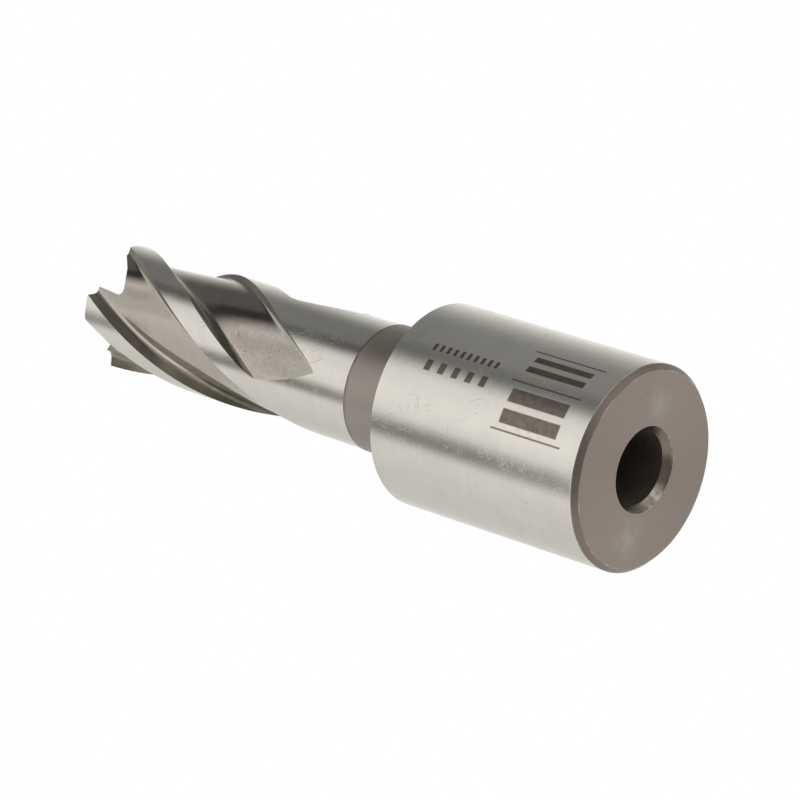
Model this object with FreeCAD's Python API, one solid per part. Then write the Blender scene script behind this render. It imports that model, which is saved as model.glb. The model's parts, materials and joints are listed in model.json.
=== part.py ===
"""Annular cutter, twelve millimetre, with a plain cylindrical drive shank.

One solid bar of high speed steel. It stands on the rear face of its shank, with the
teeth up: the origin is the middle of the rear face and +Z runs along the axis.
Angles are measured round +Z from +X. Lengths are millimetres, angles are degrees.
"""
import FreeCAD, Part
import math
import os

# Shank: ground cylinder with a chamfered rear edge
SHANK_DIAMETER = 19.05
SHANK_LENGTH = 24.0
SHANK_CHAMFER_WIDTH = 0.5
SHANK_CHAMFER_LENGTH = 0.57
SHANK_FRONT_BREAK = 0.12

# Drive flats: two pockets a quarter turn apart, on the side away from the mark
FLAT_COUNT = 2
FLAT_STEP = 90.0
FLAT_FIRST_ANGLE = 135.0
FLAT_DEPTH = 1.1
FLAT_LENGTH = 9.0
FLAT_FROM_REAR = 8.0

# Neck: turned, a little larger than the ground body
NECK_DIAMETER = 12.14
NECK_LENGTH = 6.45
NECK_ROOT_RADIUS = 0.3
NECK_END_STEP_LENGTH = 0.12

# Body: ground cylinder that carries the flutes and the teeth
BODY_DIAMETER = 12.0
BODY_LENGTH = 33.95

# Pilot bore from the rear face, and the wider cavity that takes the core
PILOT_BORE_DIAMETER = 6.8
PILOT_BORE_CHAMFER_WIDTH = 0.6
PILOT_BORE_CHAMFER_LENGTH = 0.75
CORE_DIAMETER = 7.4
CORE_DEPTH = 27.4
CORE_FLOOR_ANGLE = 60.0

# Flutes: right-hand helix, steep leading wall, floor that rises towards the heel
FLUTE_COUNT = 4
HELIX_LEAD = 66.7
FIRST_RAKE_ANGLE_AT_TIP = 11.0
LAND_WIDTH = 2.3
FLUTE_DEPTH_AT_RAKE = 1.25
FLUTE_DEPTH_AT_HEEL = 0.68
FLOOR_RISE_POWER = 1.6
RAKE_WALL_LEAN = 17.0
HEEL_WALL_LEAN = 36.0
RAKE_FOOT_BLEND = 0.34
HEEL_FOOT_BLEND = 0.30

# Flute run-out: the floor climbs back to the body's surface
FLUTE_LENGTH_AT_RAKE = 22.0
FLUTE_LENGTH_AT_HEEL = 30.2
RUNOUT_BOW = 0.65
RUNOUT_LENGTH = 12.0

# Teeth: the inner edge leads the outer one, and a hooked gullet stands before it
INNER_EDGE_LEAD = 14.0
GULLET_DEPTH = 3.25
GULLET_HOOK = 9.0
GULLET_RADIUS = 0.55
GULLET_BACK_START = 20.0
GULLET_BACK_END = 50.0
GULLET_BACK_RADIUS = 7.5
END_RELIEF = 5.0
TOOTH_CREST_RADIUS = 5.0
OUTER_BEVEL = 7.0
INNER_BEVEL = 12.0

# How finely the curved tools are drawn
FLUTE_SECTIONS = 26
FLOOR_POINTS = 9
GULLET_POINTS = 7

# Overrun of a cutting tool past the surface that it opens
TOOL_OVERRUN = 1.2

# Values that follow from the sizes above
SHANK_RADIUS = SHANK_DIAMETER / 2
NECK_RADIUS = NECK_DIAMETER / 2
BODY_RADIUS = BODY_DIAMETER / 2
BORE_RADIUS = PILOT_BORE_DIAMETER / 2
CORE_RADIUS = CORE_DIAMETER / 2
BODY_START = SHANK_LENGTH + NECK_LENGTH
TIP = BODY_START + BODY_LENGTH
TURN_PER_MM = 360.0 / HELIX_LEAD
PITCH_ANGLE = 360.0 / FLUTE_COUNT
LAND_ANGLE = math.degrees(LAND_WIDTH / BODY_RADIUS)
HEEL_ANGLE = PITCH_ANGLE - LAND_ANGLE


def polar(radius, angle, z):
    """Return the point at a radius, an angle in degrees and a height."""
    turn = math.radians(angle)
    return FreeCAD.Vector(radius * math.cos(turn), radius * math.sin(turn), z)


def between(low, high, share):
    """Return the value a share of the way from low to high."""
    return low + (high - low) * share


def turned_blank():
    """Return the turned and ground bar, bored through, before any flute is cut."""
    neck_root = SHANK_LENGTH + NECK_ROOT_RADIUS
    root_middle = NECK_ROOT_RADIUS * (1 - math.sqrt(0.5))
    outer_drop = (BODY_RADIUS - TOOTH_CREST_RADIUS) * math.tan(math.radians(OUTER_BEVEL))
    inner_drop = (TOOTH_CREST_RADIUS - CORE_RADIUS) * math.tan(math.radians(INNER_BEVEL))
    core_floor = TIP - CORE_DEPTH
    floor_drop = (CORE_RADIUS - BORE_RADIUS) / math.tan(math.radians(CORE_FLOOR_ANGLE))

    def at(radius, z):
        return FreeCAD.Vector(radius, 0, z)

    shank_side = [
        at(BORE_RADIUS + PILOT_BORE_CHAMFER_WIDTH, 0),
        at(SHANK_RADIUS - SHANK_CHAMFER_WIDTH, 0),
        at(SHANK_RADIUS, SHANK_CHAMFER_LENGTH),
        at(SHANK_RADIUS, SHANK_LENGTH - SHANK_FRONT_BREAK),
        at(SHANK_RADIUS - SHANK_FRONT_BREAK, SHANK_LENGTH),
        at(NECK_RADIUS + NECK_ROOT_RADIUS, SHANK_LENGTH),
    ]
    root_arc = Part.Arc(
        shank_side[-1],
        at(NECK_RADIUS + root_middle, SHANK_LENGTH + root_middle),
        at(NECK_RADIUS, neck_root),
    )
    body_side = [
        at(NECK_RADIUS, neck_root),
        at(NECK_RADIUS, BODY_START - NECK_END_STEP_LENGTH),
        at(BODY_RADIUS, BODY_START),
        at(BODY_RADIUS, TIP - outer_drop),
        at(TOOTH_CREST_RADIUS, TIP),
        at(CORE_RADIUS, TIP - inner_drop),
        at(CORE_RADIUS, core_floor),
        at(BORE_RADIUS, core_floor - floor_drop),
        at(BORE_RADIUS, PILOT_BORE_CHAMFER_LENGTH),
        shank_side[0],
    ]
    edges = list(Part.makePolygon(shank_side).Edges)
    edges.append(root_arc.toShape())
    edges.extend(Part.makePolygon(body_side).Edges)
    profile = Part.Face(Part.Wire(edges))
    return profile.revolve(FreeCAD.Vector(0, 0, 0), FreeCAD.Vector(0, 0, 1), 360)


def drive_flat(index):
    """Return the block that mills one drive flat into the shank."""
    width = SHANK_DIAMETER
    depth = FLAT_DEPTH + TOOL_OVERRUN
    corner = FreeCAD.Vector(SHANK_RADIUS - FLAT_DEPTH, -width / 2, FLAT_FROM_REAR)
    block = Part.makeBox(depth, width, FLAT_LENGTH, corner)
    angle = FLAT_FIRST_ANGLE + index * FLAT_STEP
    block.rotate(FreeCAD.Vector(0, 0, 0), FreeCAD.Vector(0, 0, 1), angle)
    return block


def rake_wall_angle(radius):
    """Return how far the leading wall stands ahead of the land's edge."""
    inward = BODY_RADIUS - radius
    return math.degrees(math.atan2(inward * math.tan(math.radians(RAKE_WALL_LEAN)), radius))


def heel_wall_angle(radius):
    """Return where the heel wall stands, measured ahead of the land's leading edge."""
    inward = BODY_RADIUS - radius
    back = math.degrees(math.atan2(inward * math.tan(math.radians(HEEL_WALL_LEAN)), radius))
    return HEEL_ANGLE - back


def floor_radius(share, z):
    """Return the flute floor's radius, a share of the way from rake wall to heel wall."""
    depth = between(FLUTE_DEPTH_AT_RAKE, FLUTE_DEPTH_AT_HEEL, share**FLOOR_RISE_POWER)
    length = between(FLUTE_LENGTH_AT_RAKE, FLUTE_LENGTH_AT_HEEL, share)
    length += RUNOUT_BOW * 4 * share * (1 - share)
    past_end = z - (TIP - length)
    climb = max(0.0, 1 - past_end / RUNOUT_LENGTH)
    return BODY_RADIUS - depth * (1 - climb**2)


def flute_section(z, outer_radius):
    """Return the control points of one flute's outline at a height, face by face."""
    turn = FIRST_RAKE_ANGLE_AT_TIP + (z - TIP) * TURN_PER_MM
    foot_angle = rake_wall_angle(floor_radius(0, z))
    heel_angle = heel_wall_angle(floor_radius(1, z))
    floor = []
    for step in range(FLOOR_POINTS + 1):
        share = step / FLOOR_POINTS
        angle = between(foot_angle, heel_angle, share)
        floor.append(polar(floor_radius(share, z), turn + angle, z))
    rake_top = polar(outer_radius, turn + rake_wall_angle(outer_radius), z)
    heel_top = polar(outer_radius, turn + heel_wall_angle(outer_radius), z)
    foot, heel = floor[0], floor[-1]
    rake_blend = [
        toward(foot, rake_top, RAKE_FOOT_BLEND),
        foot,
        toward(foot, floor[1], RAKE_FOOT_BLEND),
    ]
    heel_blend = [
        toward(heel, floor[-2], HEEL_FOOT_BLEND),
        heel,
        toward(heel, heel_top, HEEL_FOOT_BLEND),
    ]
    return [
        [rake_top, rake_blend[0]],
        rake_blend,
        [rake_blend[-1], *floor[1:-1], heel_blend[0]],
        heel_blend,
        [heel_blend[-1], heel_top],
        [heel_top, rake_top],
    ]


def toward(start, goal, length):
    """Return the point a set length from start on the way to goal."""
    return start + (goal - start).normalize() * length


def clamped(count, degree):
    """Return the knots and their multiplicities of a spline that meets its end points."""
    inner = count - degree - 1
    return list(range(inner + 2)), [degree + 1, *[1] * inner, degree + 1]


def strip(rows):
    """Return the smooth face that rows of control points span."""
    along = min(3, len(rows) - 1)
    across = min(3, len(rows[0]) - 1)
    row_knots, row_repeats = clamped(len(rows), along)
    column_knots, column_repeats = clamped(len(rows[0]), across)
    surface = Part.BSplineSurface()
    surface.buildFromPolesMultsKnots(
        rows, row_repeats, column_repeats, row_knots, column_knots, False, False, along, across
    )
    return surface.toShape()


def cap(parts):
    """Return the flat face that closes a tool at one end."""
    edges = []
    for points in parts:
        degree = min(3, len(points) - 1)
        knots, repeats = clamped(len(points), degree)
        curve = Part.BSplineCurve()
        curve.buildFromPolesMultsKnots(points, repeats, knots, False, degree)
        edges.append(curve.toShape())
    return Part.Face(Part.Wire(edges))


def flute_tool():
    """Return the solid that one flute removes, swept up the helix with its run-out."""
    z_low = TIP - FLUTE_LENGTH_AT_HEEL - TOOL_OVERRUN
    z_high = TIP + TOOL_OVERRUN
    outer_radius = floor_radius(0, z_low) + TOOL_OVERRUN
    sections = []
    for step in range(FLUTE_SECTIONS + 1):
        z = between(z_low, z_high, step / FLUTE_SECTIONS)
        sections.append(flute_section(z, outer_radius))
    faces = [strip(rows) for rows in map(list, zip(*sections))]
    faces.append(cap(sections[0]))
    faces.append(cap(sections[-1]))
    shell = Part.makeShell(faces)
    shell.sewShape()
    return Part.makeSolid(shell)


def gullet_outline():
    """Return the gullet and end relief, drawn flat at the tooth crest's radius.

    Each item is one edge as a list of (arc length, height) pairs. The arc length runs
    from this tooth's inner edge forward to the next tooth's.
    """
    hook = math.radians(GULLET_HOOK)
    back_start = math.radians(GULLET_BACK_START)
    back_end = math.radians(GULLET_BACK_END)
    relief = math.tan(math.radians(END_RELIEF))
    top = TIP + TOOL_OVERRUN
    pitch = math.radians(PITCH_ANGLE) * TOOTH_CREST_RADIUS
    centre_z = TIP - GULLET_DEPTH + GULLET_RADIUS
    face_foot = centre_z + GULLET_RADIUS * math.sin(hook)
    centre_a = (face_foot - TIP) * math.tan(hook) + GULLET_RADIUS * math.cos(hook)
    root = arc_points(centre_a, centre_z, GULLET_RADIUS, hook - math.pi / 2, back_start)
    back_centre_a = centre_a - (GULLET_BACK_RADIUS - GULLET_RADIUS) * math.sin(back_start)
    back_centre_z = centre_z + (GULLET_BACK_RADIUS - GULLET_RADIUS) * math.cos(back_start)
    back = arc_points(back_centre_a, back_centre_z, GULLET_BACK_RADIUS, back_start, back_end)
    end_a, end_z = back[-1]
    climb = math.tan(back_end)
    meet_a = (TIP - pitch * relief - end_z + end_a * climb) / (climb - relief)
    meet = (meet_a, end_z + (meet_a - end_a) * climb)
    face_top = ((top - TIP) * math.tan(hook), top)
    return [
        [face_top, root[0]],
        root,
        back,
        [back[-1], meet],
        [meet, (pitch, TIP)],
        [(pitch, TIP), (pitch, top)],
        [(pitch, top), face_top],
    ]


def arc_points(centre_a, centre_z, radius, start, end):
    """Return points on an arc, at angles measured from straight down."""
    points = []
    for step in range(GULLET_POINTS):
        angle = between(start, end, step / (GULLET_POINTS - 1))
        points.append((centre_a + radius * math.sin(angle), centre_z - radius * math.cos(angle)))
    return points


def gullet_wire(distance):
    """Return the gullet's outline on the upright plane a distance out from the axis."""
    edges = []
    for pairs in gullet_outline():
        points = []
        for length, z in pairs:
            angle = length / TOOTH_CREST_RADIUS - math.radians(PITCH_ANGLE / 2)
            points.append(FreeCAD.Vector(distance, distance * math.tan(angle), z))
        if len(points) == 2:
            edges.append(Part.LineSegment(points[0], points[1]).toShape())
        else:
            curve = Part.BSplineCurve()
            curve.interpolate(points)
            edges.append(curve.toShape())
    return Part.Wire(edges)


def gullet_tool():
    """Return the solid that shapes one tooth's end, with every face radial."""
    inner = gullet_wire(CORE_RADIUS / 2)
    outer = gullet_wire(BODY_RADIUS + TOOL_OVERRUN)
    tool = Part.makeLoft([inner, outer], True, True)
    middle = FIRST_RAKE_ANGLE_AT_TIP + INNER_EDGE_LEAD + PITCH_ANGLE / 2
    tool.rotate(FreeCAD.Vector(0, 0, 0), FreeCAD.Vector(0, 0, 1), middle)
    return tool


def main():
    """Build the cutter and write it."""
    cutter = turned_blank()
    for index in range(FLAT_COUNT):
        cutter = cutter.cut(drive_flat(index))
    for tool in (flute_tool(), gullet_tool()):
        for index in range(FLUTE_COUNT):
            turned = tool.copy()
            turned.rotate(FreeCAD.Vector(0, 0, 0), FreeCAD.Vector(0, 0, 1), index * PITCH_ANGLE)
            cutter = cutter.cut(turned)
    os.makedirs("parts", exist_ok=True)
    cutter.exportStep("parts/annular_cutter.step")


main()
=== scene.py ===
"""Looks of a small annular cutter: ground, turned and milled steel in soft studio light.

Lengths are metres, as in the frame, and a size written times MM is in millimetres.
Heights run up the axis from the shank's rear face to the teeth. Angles are degrees
round the axis, counted from +X. The finishes work in millimetres and degrees.
"""

import json
import logging
import math
from dataclasses import dataclass, field, fields
from enum import Enum
from types import SimpleNamespace
from typing import ClassVar

import bmesh
import bpy
from mathutils import Matrix, Vector


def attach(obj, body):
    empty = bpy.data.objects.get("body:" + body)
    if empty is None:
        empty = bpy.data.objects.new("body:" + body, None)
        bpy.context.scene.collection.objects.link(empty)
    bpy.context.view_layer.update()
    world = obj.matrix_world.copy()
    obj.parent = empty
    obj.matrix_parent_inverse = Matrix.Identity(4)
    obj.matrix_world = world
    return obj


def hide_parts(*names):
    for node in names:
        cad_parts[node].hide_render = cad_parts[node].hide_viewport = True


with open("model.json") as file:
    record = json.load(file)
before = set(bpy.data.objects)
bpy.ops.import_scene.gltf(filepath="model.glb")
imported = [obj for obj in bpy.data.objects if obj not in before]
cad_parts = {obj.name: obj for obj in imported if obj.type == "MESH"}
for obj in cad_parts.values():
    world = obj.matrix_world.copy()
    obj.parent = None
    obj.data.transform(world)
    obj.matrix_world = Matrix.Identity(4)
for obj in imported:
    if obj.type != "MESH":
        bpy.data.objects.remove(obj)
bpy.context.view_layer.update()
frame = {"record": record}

NODE = "annular_cutter"
MM = 0.001
DEGREE = math.radians(1)
HELIX_LEAD = 66.7

Socket = bpy.types.NodeSocket
Material = bpy.types.Material
Piece = bpy.types.Object
Tone = tuple[float, float, float]
Span = tuple[float, float]
Number = "Formula | float"
SOCKET_KINDS = {int: "NodeSocketInt", float: "NodeSocketFloat", Material: "NodeSocketMaterial"}

log = logging.getLogger("cutter")


class Grain(Enum):
    """Which way the fine lines of a finish run."""

    AROUND = "around the axis, one above the other"
    RINGS = "rings on a flat end"
    FLUTE = "along the helix"


def between(low: float, high: float, share: float) -> float:
    """Return the value a share of the way from low to high."""
    return low + (high - low) * share


def mount(name: str) -> dict:
    """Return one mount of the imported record."""
    return next(m for m in frame["record"]["mounts"] if m["name"] == name)


def bend(start: Vector, corner: Vector, end: Vector, steps: int) -> list[Vector]:
    """Return a smooth bend that replaces a corner.

    Args:
        start: where the bend leaves the first line.
        corner: the corner that it replaces.
        end: where it meets the second line.
        steps: how many pieces it has.

    Returns:
        The bend's points.
    """
    shares = [step / steps for step in range(steps + 1)]
    return [start.lerp(corner, share).lerp(corner.lerp(end, share), share) for share in shares]


def arc(x: float, y: float, radius: float, start: float, end: float, steps: int) -> list[Vector]:
    """Return an arc round a centre.

    Args:
        x: the centre's first number.
        y: its second number.
        radius: the arc's radius.
        start: its first angle, measured from straight down.
        end: its last angle.
        steps: how many pieces it has.

    Returns:
        The arc's points, drawn flat.
    """
    angles = [between(start, end, step / steps) for step in range(steps + 1)]
    return [Vector((x + radius * math.sin(angle), y - radius * math.cos(angle), 0)) for angle in angles]


@dataclass(frozen=True)
class Formula:
    """A number in a node tree, combined with ordinary arithmetic.

    Args:
        sheet: the tree.
        socket: the socket that gives the number.
    """

    sheet: "Sheet"
    socket: Socket

    def apply(self, operation: str, *others: Number) -> "Formula":
        """Return the result of a Math node that takes this number first."""
        return self.sheet.work_out(operation, self, *others)

    def __add__(self, other: Number) -> "Formula":
        """Return the sum."""
        return self.apply("ADD", other)

    __radd__ = __add__

    def __sub__(self, other: Number) -> "Formula":
        """Return this number less the other."""
        return self.apply("SUBTRACT", other)

    def __rsub__(self, other: float) -> "Formula":
        """Return the other number less this one."""
        return self.sheet.work_out("SUBTRACT", other, self)

    def __mul__(self, other: Number) -> "Formula":
        """Return the product."""
        return self.apply("MULTIPLY", other)

    __rmul__ = __mul__

    def __truediv__(self, other: Number) -> "Formula":
        """Return this number over the other."""
        return self.apply("DIVIDE", other)

    def __rtruediv__(self, other: float) -> "Formula":
        """Return the other number over this one."""
        return self.sheet.work_out("DIVIDE", other, self)

    def __pow__(self, other: Number) -> "Formula":
        """Return this number raised to the other."""
        return self.apply("POWER", other)


@dataclass
class Sheet:
    """A node tree with short calls that add nodes and join them.

    Args:
        tree: the tree that gets the nodes.
    """

    tree: bpy.types.NodeTree

    def put(self, value: object, socket: Socket) -> None:
        """Give a socket its value.

        Args:
            value: a formula, another socket or a plain constant.
            socket: the input that gets it.
        """
        if isinstance(value, Formula):
            value = value.socket
        if isinstance(value, Socket):
            self.tree.links.new(value, socket)
        else:
            socket.default_value = value

    def add(self, kind: str, inputs: dict | None = None, **settings: object) -> bpy.types.Node:
        """Add a node.

        Args:
            kind: the node's type name.
            inputs: values by socket name or number.
            settings: the node's own properties.

        Returns:
            The new node.
        """
        node = self.tree.nodes.new(kind)
        for name, value in settings.items():
            setattr(node, name, value)
        for name, value in (inputs or {}).items():
            self.put(value, node.inputs[name])
        return node

    def number(self, socket: Socket) -> Formula:
        """Return a socket as a formula."""
        return Formula(self, socket)

    def work_out(self, operation: str, *values: Number) -> Formula:
        """Return the result of a Math node with the values as its inputs."""
        node = self.add("ShaderNodeMath", dict(enumerate(values)), operation=operation)
        return self.number(node.outputs[0])

    def constant(self, value: float) -> Formula:
        """Return a fixed number as a formula."""
        return self.work_out("ADD", value, 0.0)

    def parts(self, vector: Socket) -> tuple[Formula, Formula, Formula]:
        """Return the three numbers of a vector."""
        return tuple(self.number(out) for out in self.add("ShaderNodeSeparateXYZ", {0: vector}).outputs)

    def vector(self, x: object, y: object, z: object) -> Socket:
        """Return a vector made of three numbers."""
        return self.add("ShaderNodeCombineXYZ", {0: x, 1: y, 2: z}).outputs[0]

    def step(self, value: Formula, nought: float, full: float) -> Formula:
        """Return a smooth step.

        Args:
            value: the number that it follows.
            nought: where the step is still 0.
            full: where it has reached 1.

        Returns:
            A formula from 0 to 1.
        """
        ends = {"Value": value, "From Min": nought, "From Max": full}
        node = self.add("ShaderNodeMapRange", ends, interpolation_type="SMOOTHSTEP")
        return self.number(node.outputs["Result"])

    def mix(self, share: Formula, first: object, second: Tone) -> Socket:
        """Return a mixed colour.

        Args:
            share: how much of the second colour it takes, from 0 to 1.
            first: a colour with its opacity, or a socket that gives one.
            second: the other colour.

        Returns:
            The socket that gives the mix.
        """
        colours = {0: share, 6: first, 7: (*second, 1)}
        return self.add("ShaderNodeMix", colours, data_type="RGBA", clamp_factor=True).outputs[2]

    def store_place(self, geometry: Socket, name: str) -> Socket:
        """Keep each point's place as a named attribute.

        Args:
            geometry: the points.
            name: the attribute's name.

        Returns:
            The geometry with the attribute.
        """
        place = self.add("GeometryNodeInputPosition").outputs[0]
        entries = {"Geometry": geometry, "Name": name, "Value": place}
        node = self.add("GeometryNodeStoreNamedAttribute", entries, data_type="FLOAT_VECTOR")
        return node.outputs["Geometry"]

    def stored_place(self, name: str) -> tuple[Formula, Formula, Formula]:
        """Return the three numbers of a place kept under a name."""
        node = self.add("GeometryNodeInputNamedAttribute", {"Name": name}, data_type="FLOAT_VECTOR")
        return self.parts(node.outputs["Attribute"])


def distance(x: Formula, y: Formula) -> Formula:
    """Return how far a point lies from the one that its two numbers are counted from."""
    return (x * x + y * y).apply("SQRT")


def linked(name: str, mesh: bpy.types.Mesh) -> Piece:
    """Put a mesh into the scene.

    Args:
        name: the object's name.
        mesh: its mesh.

    Returns:
        The new object.
    """
    piece = bpy.data.objects.new(name, mesh)
    bpy.context.scene.collection.objects.link(piece)
    return piece


def finished_mesh(made: bmesh.types.BMesh, name: str, materials: list[Material]) -> Piece:
    """Turn a bmesh into an object.

    Args:
        made: the mesh, which is freed.
        name: the object's name.
        materials: its material slots.

    Returns:
        The new object.
    """
    mesh = bpy.data.meshes.new(name)
    made.to_mesh(mesh)
    made.free()
    for material in materials:
        mesh.materials.append(material)
    return linked(name, mesh)


def made_plain(piece: Piece) -> Piece:
    """Turn an object's evaluated shape into its own plain mesh.

    Args:
        piece: an object with modifiers.

    Returns:
        The same object, with no modifier left.
    """
    bpy.context.view_layer.update()
    graph = bpy.context.evaluated_depsgraph_get()
    mesh = bpy.data.meshes.new_from_object(piece.evaluated_get(graph), depsgraph=graph)
    piece.modifiers.clear()
    piece.data = mesh
    return piece


@dataclass(frozen=True)
class Turned:
    """One corner of the bar's half section, and the stretch from it to the next corner.

    Args:
        radius: distance from the axis.
        height: place along the axis.
        rounding: radius of the corner.
        finish: name of the finish on the stretch that follows.
    """

    radius: float
    height: float
    rounding: float
    finish: str

    def point(self) -> Vector:
        """Return the corner as a flat vector."""
        return Vector((self.radius, self.height))


@dataclass
class Bar:
    """The turned bar: shank, neck and body on one axis, with its bore and core cavity."""

    shank_radius: float = mount("shank")["dims"]["r_mm"] * MM
    bore_radius: float = mount("pilot_bore")["dims"]["r_mm"] * MM
    shank_length: float = 24.0 * MM
    shank_chamfer_width: float = 0.5 * MM
    shank_chamfer_length: float = 0.57 * MM
    shank_front_break: float = 0.12 * MM
    neck_radius: float = 6.07 * MM
    neck_length: float = 6.45 * MM
    neck_root_radius: float = 0.3 * MM
    neck_end_step: float = 0.12 * MM
    body_radius: float = 6.0 * MM
    body_length: float = 33.95 * MM
    bore_chamfer_width: float = 0.6 * MM
    bore_chamfer_length: float = 0.75 * MM
    core_radius: float = 3.7 * MM
    core_depth: float = 27.4 * MM
    core_floor_angle: float = 60.0
    crest_radius: float = 5.0 * MM
    outer_bevel: float = 7.0
    inner_bevel: float = 12.0
    edge_round: float = 0.05 * MM
    fine_round: float = 0.02 * MM
    segments: int = 384
    round_steps: int = 4

    @property
    def body_start(self) -> float:
        """Return where the ground body begins."""
        return self.shank_length + self.neck_length

    @property
    def tip(self) -> float:
        """Return the height of the teeth's crest."""
        return self.body_start + self.body_length

    def corners(self) -> list[Turned]:
        """Return the half section.

        Returns:
            Its corners, from the bore's mouth out and round to it again.
        """
        shank, bore, core, start = self.shank_radius, self.bore_radius, self.core_radius, self.body_start
        outer_drop = (self.body_radius - self.crest_radius) * math.tan(self.outer_bevel * DEGREE)
        inner_drop = (self.crest_radius - core) * math.tan(self.inner_bevel * DEGREE)
        floor = self.tip - self.core_depth
        floor_drop = (core - bore) / math.tan(self.core_floor_angle * DEGREE)
        front = self.shank_front_break
        edge, fine = self.edge_round, self.fine_round
        return [
            Turned(bore + self.bore_chamfer_width, 0, edge, "faced_end"),
            Turned(shank - self.shank_chamfer_width, 0, edge, "chamfer"),
            Turned(shank, self.shank_chamfer_length, edge, "ground_shank"),
            Turned(shank, self.shank_length - front, fine, "chamfer"),
            Turned(shank - front, self.shank_length, fine, "turned_neck"),
            Turned(self.neck_radius, self.shank_length, self.neck_root_radius, "turned_neck"),
            # The step onto the body takes the dark chamfer finish, which paints a shadow line along the
            # step.
            Turned(self.neck_radius, start - self.neck_end_step, fine, "chamfer"),
            Turned(self.body_radius, start, fine, "ground_body"),
            Turned(self.body_radius, self.tip - outer_drop, 0, "tooth_end"),
            Turned(self.crest_radius, self.tip, 0, "tooth_end"),
            Turned(core, self.tip - inner_drop, 0, "bore_wall"),
            Turned(core, floor, 0, "bore_wall"),
            Turned(bore, floor - floor_drop, 0, "bore_wall"),
            Turned(bore, self.bore_chamfer_length, edge, "bore_chamfer"),
        ]

    def path(self) -> list[tuple[Vector, str]]:
        """Return the section with its corners rounded.

        Returns:
            Its points, each with the finish of the stretch that follows.
        """
        corners = self.corners()
        points = []
        for index, corner in enumerate(corners):
            here = corner.point()
            before = corners[index - 1].point() - here
            after = corners[(index + 1) % len(corners)].point() - here
            rounded = [here]
            if corner.rounding:
                setback = corner.rounding / math.tan(before.angle(after) / 2)
                start = here + before.normalized() * setback
                end = here + after.normalized() * setback
                rounded = bend(start, here, end, self.round_steps)
            points.extend((point, corner.finish) for point in rounded)
        return points

    def build(self, finishes: dict[str, Material]) -> Piece:
        """Turn the half section round the axis.

        Args:
            finishes: the materials by name.

        Returns:
            The bar as a closed mesh object.
        """
        made = bmesh.new()
        path = self.path()
        turns = [math.tau * step / self.segments for step in range(self.segments)]
        rings = [
            [made.verts.new((point.x * math.cos(turn), point.x * math.sin(turn), point.y)) for turn in turns]
            for point, _ in path
        ]
        names = list(finishes)
        for index, ring in enumerate(rings):
            above = rings[(index + 1) % len(rings)]
            slot = names.index(path[index][1])
            for near in range(self.segments):
                far = (near + 1) % self.segments
                face = made.faces.new((ring[near], ring[far], above[far], above[near]))
                face.material_index = slot
        bmesh.ops.recalc_face_normals(made, faces=made.faces[:])
        return finished_mesh(made, "turned_bar", list(finishes.values()))


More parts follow.
